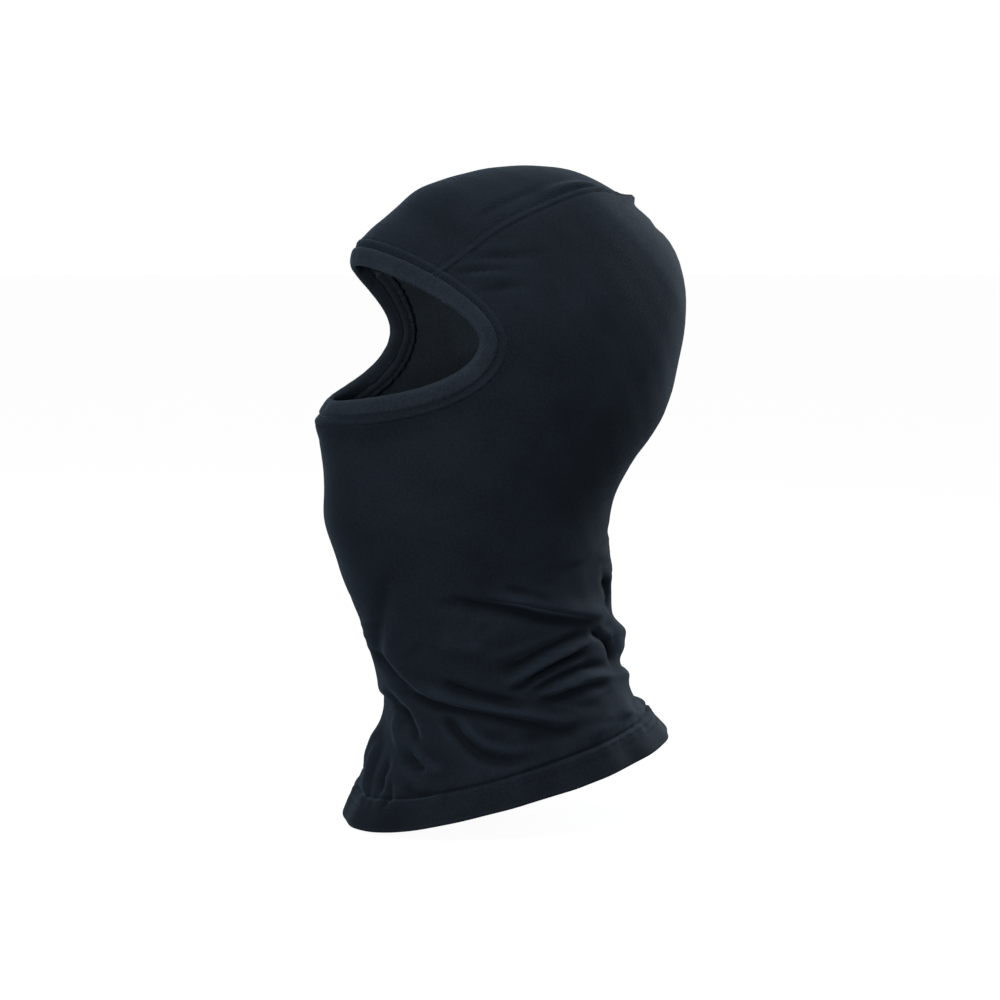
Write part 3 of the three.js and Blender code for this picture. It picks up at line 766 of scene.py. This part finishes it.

# %% [markdown]
# ## Cutting and laying the cloth
# Each cloth piece is a grid of points on the lifted form. Its faces look outwards, and a Solidify
# modifier gives the layer its thickness on the inner side. The grid keeps a UV map in metres, so the
# knit follows the cut, and an attribute that lightens or darkens the colour: painted shade in creases
# and on the hem, painted highlight on raised folds, painted light on the band's inner leaf, and wear on
# cut edges and folded edges.

# %% From a grid to a piece of cloth
def lay_cloth(name, points, flat_map, light_shade_and_wear, thickness, materials, closed=False):
    """points is rows by columns, in millimetres. flat_map is the same grid on the cut cloth.

    materials are for the outer face and, where it differs, the inner face."""
    rows, columns = points.shape[:2]
    index = np.arange(rows * columns).reshape(rows, columns)
    if closed:
        index = np.column_stack([index, index[:, 0]])
    corners = [index[:-1, :-1], index[1:, :-1], index[1:, 1:], index[:-1, 1:]]
    faces = np.stack(corners, axis=-1).reshape(-1, 4)
    mesh = bpy.data.meshes.new(name)
    mesh.from_pydata((points.reshape(-1, 3) * MM).tolist(), [], faces.tolist())
    columns_at = np.arange(index.shape[1])
    column_corners = [columns_at[:-1], columns_at[:-1], columns_at[1:], columns_at[1:]]
    row_corners = [np.arange(rows - 1), np.arange(1, rows), np.arange(1, rows), np.arange(rows - 1)]
    corner_maps = [flat_map[np.ix_(row, column)] for row, column in zip(row_corners, column_corners)]
    uv_layer = mesh.uv_layers.new(name="cloth")
    uv_layer.data.foreach_set("uv", (np.stack(corner_maps, axis=2) * MM).ravel().astype(np.float32))
    light_shade_and_wear_layer = mesh.attributes.new("light_shade_and_wear", "FLOAT", "POINT")
    light_shade_and_wear_layer.data.foreach_set("value", light_shade_and_wear.ravel().astype(np.float32))
    piece = bpy.data.objects.new(name, mesh)
    bpy.context.collection.objects.link(piece)
    for material in materials:
        mesh.materials.append(material)
    mesh.shade_smooth()
    flat_area = sum(face.area for face in mesh.polygons)
    bpy.ops.object.select_all(action="DESELECT")
    piece.select_set(True)
    bpy.context.view_layer.objects.active = piece
    solidify = piece.modifiers.new("layer", "SOLIDIFY")
    solidify.thickness, solidify.offset = thickness * MM, -1
    solidify.material_offset = len(materials) - 1
    bpy.ops.object.modifier_apply(modifier=solidify.name)
    piece.data.shade_smooth()
    print(name, len(piece.data.polygons), "faces,", round(flat_area * 1e4), "square cm")
    return piece, flat_area


def finish_piece(piece, slot, *nodes):
    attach(piece, "root")
    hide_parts(*nodes)


# %% [markdown]
# ## The body panel
# It starts at the band, goes down over the cheeks and the neck, turns round the hem edge and ends in a
# raw edge 18 mm up inside, so the hem is one bent sheet and not two. The folded hem edge is round, as
# soft cloth folds, and never creased.

# %% Rows and columns of the body panel
beside_seam = np.array([0, 0.6, 1.2, 1.8, 2.3, 2.9, 3.6, 4.6, 6.0, 8.0, 10.4, 13])
EVEN_COLUMNS = 96


def body_columns(seam_angle, ring):
    """The angles of one row, from the right seam round the front to the left seam."""
    dense = angle_at(seam_angle, ring, -BUTT - beside_seam)
    even = dense[-1] * (1 - np.arange(1, EVEN_COLUMNS) / EVEN_COLUMNS)
    half = np.concatenate([dense, even, [0.0]])
    return np.concatenate([-half[:-1], half[::-1]])


body_angles = [body_columns(seam_angles[row], seam_rings[row]) for row in range(TOP_COUNT)]
body_rings = [top_ring(row, angles) for row, angles in enumerate(body_angles)]
print("body panel's first row runs from", np.degrees(body_angles[0][[0, -1]]).round(1), "degrees")

# %% Down the back and round the hem
BACK_END, HEM_START = HEM - 0.6, HEM - 0.4  # rings where the two sets of rows are spaced
for share in back_shares:
    angles = body_columns(np.pi, CROWN_POINT + (BACK_END - CROWN_POINT) * share)
    foot = above_hem_edge(angles, above_hem[0])
    body_angles.append(angles)
    body_rings.append(CROWN_POINT + (foot - CROWN_POINT) * share)
for distance in above_hem:
    body_angles.append(body_columns(np.pi, HEM_START))
    body_rings.append(above_hem_edge(body_angles[-1], distance))
turned = np.array([  # distance from the hem edge, depth of the outer face
    (17.4, 0), (16.7, 0), (16, 0), (15.2, 0), (14.2, 0), (12.8, 0), (11.4, 0), (10.4, 0), (9.6, 0), (8.8, 0),
    (7.6, 0), (6, 0), (4.4, 0.02), (3, 0.02), (2, 0.0), (1.3, -0.08), (0.7, -0.25), (0.25, -0.6), (0.1, -1.0),
    (0.3, -1.4), (0.8, -1.75), (1.5, -1.92), (2.6, -1.97), (4.4, -1.95), (7, -1.95), (10, -1.95), (13, -1.95),
    (15.5, -1.95), (17.6, -2.0)])
hem_row = len(body_angles)  # the first of the rows that turn round the hem
for distance in turned[:, 0]:
    body_angles.append(body_columns(np.pi, HEM))
    body_rings.append(above_hem_edge(body_angles[-1], distance))
body_angles, body_rings = np.array(body_angles), np.array(body_rings)
body_depths = np.concatenate([np.zeros(hem_row), turned[:, 1]])
print("body panel has", len(body_rings), "rows of", body_rings.shape[1], "places")

# %% The body panel itself
body_points = on_cloth(body_angles, body_rings, body_depths[:, None])
ROUND_SCALE = 90.0  # millimetres of cut cloth for each radian round an upright axis
AXIS_SHIFT, WIDTH_TO_LENGTH = 15.0, 1.35
x, y, z = np.moveaxis(body_points, -1, 0)
round_axis = np.arctan2(x * WIDTH_TO_LENGTH, -(y + AXIS_SHIFT))
body_map = np.stack([round_axis * ROUND_SCALE, z], axis=-1)
EDGE_WEAR, HEM_WEAR = 0.3, 0.5
HEM_FOLD = slice(hem_row + 14, hem_row + 21)  # the rows on the folded edge itself
# painted shade and highlight from the map of creases, and wear on the hem's fold and the cut edges
body_light_shade_and_wear = read_at(light_shade_and_wear_map, body_angles, body_rings)
body_light_shade_and_wear[HEM_FOLD] += HEM_WEAR
body_light_shade_and_wear[:, [0, 1, -2, -1]] += EDGE_WEAR
both_faces = [jersey, reverse_jersey]
body, body_area = lay_cloth("body_panel_cloth", body_points, body_map, body_light_shade_and_wear, LAYER, both_faces)
finish_piece(body, "jersey", "body_panel")

# %% [markdown]
# ## The crown panel
# The wedge is widest at the forehead and ends in a point on the back of the head. It shares its rows
# with the body panel, and its columns lie closer together beside the seams.

# %% The crown panel
CROWN_COLUMNS = 64
spread_columns = np.sin(np.linspace(-np.pi / 2, np.pi / 2, CROWN_COLUMNS + 1))
spread_columns = 0.45 * spread_columns + 0.55 * np.linspace(-1, 1, CROWN_COLUMNS + 1)
POINT_HALF = 0.0016  # half the panel at its point, in radians
half_angles = np.maximum(np.pi - angle_at(seam_angles, seam_rings, BUTT), POINT_HALF)
crown_angles = np.pi + half_angles[:, None] * spread_columns
crown_rings = np.array([top_ring(row, crown_angles[row]) for row in range(TOP_COUNT)])
crown_points = on_cloth(crown_angles, crown_rings)
crown_steps = np.linalg.norm(np.diff(crown_points, axis=0), axis=-1).mean(axis=1)
crown_down = np.concatenate([[0], np.cumsum(crown_steps)])[:, None]
crown_map = np.stack(np.broadcast_arrays(crown_points[..., 0], -crown_down), axis=-1)
# painted shade and highlight from the map of creases, and wear on the cut edges
crown_light_shade_and_wear = read_at(light_shade_and_wear_map, crown_angles, crown_rings)
crown_light_shade_and_wear[:, [0, 1, -2, -1]] += EDGE_WEAR
crown, crown_area = lay_cloth("crown_panel_cloth", crown_points, crown_map, crown_light_shade_and_wear, LAYER, both_faces)
finish_piece(crown, "jersey", "crown_panel")

# %% [markdown]
# ## The face band
# A strip of the same jersey is folded along its length, so the face opening has a soft rounded edge.
# Both raw edges lie behind the panels, one on the other. It is drawn as the path of the strip in
# section, from one raw edge over the fold to the other, and carried round the opening.

# %% The face band
band_section = np.array([  # distance from the folded edge, depth of the strip's outer face
    (15.2, -0.95), (13.4, -0.95), (11.4, -0.95), (10.4, -0.85), (9.8, -0.6), (9.4, -0.15), (8.8, 0.2),
    (7.4, 0.5), (5.4, 0.65), (3.6, 0.62), (2.0, 0.4), (0.85, -0.1), (0.15, -0.8), (0.0, -1.35),
    (0.3, -1.95), (1.2, -2.4), (2.8, -2.65), (5.2, -2.75), (7.6, -2.75), (9.6, -2.75), (13, -2.75),
    (15.2, -2.68), (16.3, -2.2), (17.1, -1.72)])
BAND_COLUMNS = 320
section = along(band_section, np.linspace(0, 1, 58))
band_angles = np.linspace(-np.pi, np.pi, BAND_COLUMNS + 1)[:-1]
band_rings = below_edge(band_angles, section[:, :1])
soft_edge = 0.22 * np.sin(band_angles * 17 + 2 * np.sin(band_angles * 5))
soft_edge += 0.12 * np.sin(band_angles * 41 + 1)
from_fold, strip_depth = section[:, :1], section[:, 1:]
band_depths = strip_depth + soft_edge * bump(from_fold - 4, 4) * np.sign(strip_depth + 1.3)
band_points = on_cloth(band_angles, band_rings, band_depths)
across_strip = run_along(section)
strip_angles = np.linspace(-np.pi, np.pi, BAND_COLUMNS + 1)
BAND_RADIUS = 74.0  # millimetres of strip for each radian round the opening
band_map = np.stack(np.broadcast_arrays(strip_angles * BAND_RADIUS, -across_strip[:, None]), axis=-1)
on_face = np.arange(len(section)) > section[:, 0].argmin()  # the leaf that lies on the face
# painted light: the inner leaf, which the lamps barely reach, is made much lighter and the outer leaf a little
# darker; the folded edge is lighter with wear
leaf_painted_light = np.where(on_face, 1.0, -0.12)[:, None]
band_light_and_wear = np.broadcast_to(leaf_painted_light + 0.5 * bump(from_fold - 0.8, 1.6), band_rings.shape)
band, band_area = lay_cloth("face_band_cloth", band_points, band_map, band_light_and_wear, LAYER, [band_jersey_painted_light], closed=True)
finish_piece(band, "binding_jersey", "face_binding")
print("strip is", round(across_strip[-1]), "mm wide as laid, and 44 mm wide as declared")
print("the band's worn area over its declared flat area:", round(band_area / (0.044 * 0.445), 2))

# %% [markdown]
# ## The label
# A short blank tape is sewn flat over the back seam at the nape, inside. It bellies a little between
# its two rows of stitches. Nobody sees it from outside, but it is the first thing a hand finds.

# %% The label
LABEL_SIZE = np.array([26.0, 15.0])
LABEL_DEPTH = -1.75
label_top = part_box("care_label")[1][2] / MM
back_column = np.abs(map_points[:, 0, 2] - label_top)
label_ring = map_rings[back_column.argmin()]
label_across = np.linspace(-0.5, 0.5, 27)
label_down = np.linspace(0, 1, 17)


def on_label(across, down, depth):
    """Points of the label, from shares of its width and height."""
    ring = above_ring + (below_ring - above_ring) * down
    return on_cloth(angle_at(np.pi, ring, across * LABEL_SIZE[0]), ring, depth)


back_run = from_edge[:, 0]
label_run = np.interp(label_ring, map_rings, back_run)
above_ring, below_ring = np.interp([label_run, label_run + LABEL_SIZE[1]], back_run, map_rings)
belly = LABEL_DEPTH - 0.5 * np.sin(np.pi * label_down[:, None]) * (1 + 0.3 * np.cos(label_across * 9))
label_points = on_label(label_across[None], label_down[:, None], belly)
label_map = np.stack(np.meshgrid(label_across * LABEL_SIZE[0], -label_down * LABEL_SIZE[1]), axis=-1)
label, _ = lay_cloth("care_label_tape", label_points, label_map, np.zeros(belly.shape), 0.35, [tape])
finish_piece(label, "woven_tape", "care_label")

# %% [markdown]
# ## Stitches
# A needle row shows as short beads of thread that dive into the cloth at both ends, two and a half
# millimetres apart. One bead is modelled from a small sphere. It has few faces, because there
# are thousands of them, and each row is one mesh of copies laid along the cloth.

# %% One bead of thread
bpy.ops.object.select_all(action="DESELECT")
bpy.ops.mesh.primitive_uv_sphere_add(segments=6, ring_count=5, radius=0.5, rotation=(0, math.pi / 2, 0))
bead = bpy.context.active_object
bpy.ops.object.transform_apply(location=False, rotation=True, scale=False)
bpy.ops.object.mode_set(mode="EDIT")
bpy.ops.mesh.select_all(action="SELECT")
bpy.ops.transform.resize(value=(1, 1, 0.85))
bpy.ops.mesh.normals_make_consistent(inside=False)
bpy.ops.object.mode_set(mode="OBJECT")
bead_points = np.array([vertex.co for vertex in bead.data.vertices])
bead_faces = [list(face.vertices) for face in bead.data.polygons]
bpy.data.objects.remove(bead)
print("bead:", len(bead_points), "points,", len(bead_faces), "faces")


# %% Rows of beads
def beads(name, starts, ends, outward, width, node):
    """One mesh with a bead from each start to each end, in millimetres."""
    along_bead = ends - starts
    length = np.linalg.norm(along_bead, axis=1, keepdims=True)
    along_bead /= length
    outward = outward - (outward * along_bead).sum(1, keepdims=True) * along_bead
    outward /= np.linalg.norm(outward, axis=1, keepdims=True)
    sideways = np.cross(outward, along_bead)
    middle = (starts + ends) / 2
    x, y, z = bead_points.T[:, None, :, None]
    points = middle[:, None] + x * length[:, None] * along_bead[:, None]
    points = points + y * width * sideways[:, None] + z * width * outward[:, None]
    count = len(bead_points)
    faces = [[corner + copy * count for corner in face] for copy in range(len(starts)) for face in bead_faces]
    mesh = bpy.data.meshes.new(name)
    mesh.from_pydata((points.reshape(-1, 3) * MM).tolist(), [], faces)
    mesh.materials.append(thread)
    mesh.shade_smooth()
    piece = bpy.data.objects.new(name, mesh)
    bpy.context.collection.objects.link(piece)
    finish_piece(piece, "sewing_thread", node)
    print(name, len(starts), "beads")


STITCH = 2.6  # from one stitch to the next
THREAD_WIDTH, LOOPER_WIDTH = 0.62, 0.5


def spaced(angles, rings, depth, phase=0.0):
    """Places one stitch apart along a line on the cloth, and the directions along it and outwards."""
    line = on_cloth(angles, rings, depth)
    run = run_along(line)
    count = int(run[-1] / STITCH)
    marks = (np.arange(count) + 0.5 + phase) * run[-1] / count
    marks = marks[marks < run[-1]]
    places, ahead, behind = (
        np.stack([np.interp(marks + step, run, values) for values in line.T], axis=1)
        for step in (0, 0.3, -0.3))
    outward = read_at(cloth_outward, np.interp(marks, run, angles), np.interp(marks, run, rings))
    direction = ahead - behind
    return places, direction / np.linalg.norm(direction, axis=1, keepdims=True), outward


def needle_row(node, angles, rings, depth=0.02, length=2.0):
    places, direction, outward = spaced(angles, rings, depth)
    half = direction * length / 2
    beads(node + "_stitches", places - half, places + half, outward, THREAD_WIDTH, node)


# %% [markdown]
# On the inner side of every flat seam a looper thread crosses from one needle row to the other and
# back, which lets the seam stretch. It is laid as a zigzag of long beads between the two rows.

# %% Looper zigzags
def looper(node, first, second, depth):
    """first and second are the (angles, rings) of the two needle rows."""
    one, _, outward = spaced(*first, depth)
    other, _, _ = spaced(*second, depth, 0.5)
    count = min(len(one), len(other))
    one, other, outward = one[:count], other[:count], outward[:count]
    starts = np.concatenate([one, other[:-1]])
    ends = np.concatenate([other, one[1:]])
    beads(node + "_zigzag", starts, ends, np.concatenate([outward, outward[1:]]), LOOPER_WIDTH, node)


# %% [markdown]
# Every row lies on the line that the pattern gives it. The crown seams' rows start where the band's
# outer row ends, and the back seam's stop above the hem, because the hem is turned and sewn last.

# %% The rows beside the band
round_angles = np.radians(np.linspace(-180, 180, 1441))
band_lines = [(round_angles, below_edge(round_angles, distance)) for distance in BAND_ROWS]
needle_row("binding_stitch_inner_row", *band_lines[0])
needle_row("binding_stitch_outer_row", *band_lines[1])
looper("binding_looper_thread", *band_lines, -2.9)
needle_row("binding_join_thread", round_angles, below_edge(round_angles, BAND_WIDTH - 0.4), -2.85, 2.3)

# %% The crown seams
past_band = BAND_ROWS[1] + 1.6  # the crown seams' stitches start here, from the folded edge
seam_run = np.interp(seam_rings, map_rings, from_edge[:, int(column_of(np.pi - CROWN_HALF))])
fine = np.linspace(np.interp(past_band, seam_run, np.arange(TOP_COUNT)), TOP_COUNT - 1, 600)
fine_angles = np.interp(fine, np.arange(TOP_COUNT), seam_angles)
fine_rings = np.interp(fine, np.arange(TOP_COUNT), seam_rings)
half_width = (np.pi - fine_angles) * np.linalg.norm(form(np.pi / 2, CROWN_POINT) * (1, 0, 0))
with_room = half_width > SEAM_HALF + 0.5
for side_name, side in (("left", 1), ("right", -1)):
    upper = angle_at(fine_angles, fine_rings, SEAM_HALF)[with_room] * side, fine_rings[with_room]
    lower = angle_at(fine_angles, fine_rings, -SEAM_HALF) * side, fine_rings
    lower_beside = lower[0][with_room], lower[1][with_room]
    needle_row(f"crown_seam_{side_name}_upper_row", *upper)
    needle_row(f"crown_seam_{side_name}_lower_row", *lower)
    looper(f"crown_seam_{side_name}_looper_thread", upper, lower_beside, -1.05)

# %% The centre back seam
seam_foot = above_hem_edge(np.pi, HEM_DEPTH + 1)
back_line_rings = np.linspace(CROWN_POINT + 0.04, float(seam_foot), 900)
back_left = angle_at(np.pi, back_line_rings, -SEAM_HALF), back_line_rings
back_right = -back_left[0], back_line_rings
needle_row("back_seam_left_row", *back_left)
needle_row("back_seam_right_row", *back_right)
past_middle = angle_at(np.pi, back_line_rings, SEAM_HALF), back_line_rings  # the right row, past half a turn
looper("back_seam_looper_thread", back_left, past_middle, -1.05)

# %% The hem
hem_lines = [(round_angles, above_hem_edge(round_angles, distance)) for distance in HEM_ROWS]
needle_row("hem_stitch_upper_row", *hem_lines[0])
needle_row("hem_stitch_lower_row", *hem_lines[1])
looper("hem_looper_thread", *hem_lines, -2.15)


# %% The label's rows
LABEL_STITCH = 1.9


def label_row(node, down):
    marks = np.linspace(-0.44, 0.44, 10)
    gap = LABEL_STITCH / LABEL_SIZE[0] / 2
    down = np.full(len(marks), down)
    starts, ends = (on_label(marks + step, down, LABEL_DEPTH - 0.5) for step in (-gap, gap))
    outward = read_at(cloth_outward, np.pi, np.full(len(marks), above_ring))
    beads(node + "_stitches", starts, ends, outward, THREAD_WIDTH, node)


label_row("label_stitch_upper", 0.1)
label_row("label_stitch_lower", 0.9)
